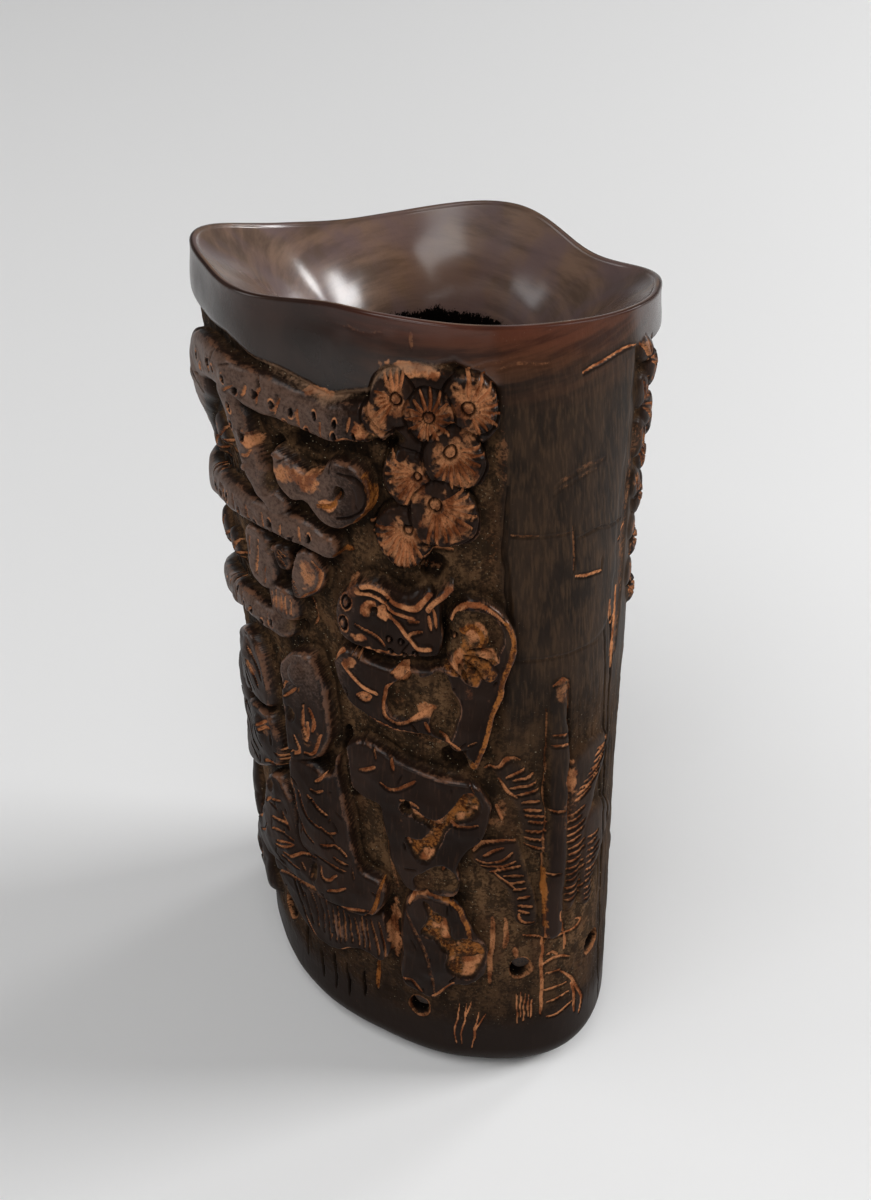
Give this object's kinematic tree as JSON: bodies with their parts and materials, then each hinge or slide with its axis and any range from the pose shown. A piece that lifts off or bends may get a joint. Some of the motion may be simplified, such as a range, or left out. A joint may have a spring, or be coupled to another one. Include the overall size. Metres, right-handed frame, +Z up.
{
  "type": "carved horn libation cup",
  "caption": "Tall tapering libation cup carved in relief from one hollow horn, with a flared wavy lip and a pegged plug closing the foot.",
  "frame": {"origin": "on the surface the cup stands on, inside the foot, under the middle of the bore's foot", "axes": "+Z up along the cup; the carved front that the picture shows faces -Y turned 20 degrees towards +X"},
  "size_m": [0.0675, 0.0632, 0.1377],
  "materials": {
    "horn": "dark brown buffalo horn, polished on the raised forms, ochre where the carving cuts into it",
    "plug": "stained hardwood, matt",
    "seal": "amber brown wax or lacquer, soft sheen",
    "peg": "raw end grain, darkened"
  },
  "bodies": {
    "root": {"horn_wall": "horn", "base_plug": "plug", "plug_seal": "seal", "peg_1": "peg", "peg_2": "peg", "peg_3": "peg", "peg_4": "peg", "peg_5": "peg", "peg_6": "peg", "peg_7": "peg", "peg_8": "peg"}
  },
  "joints": []
}
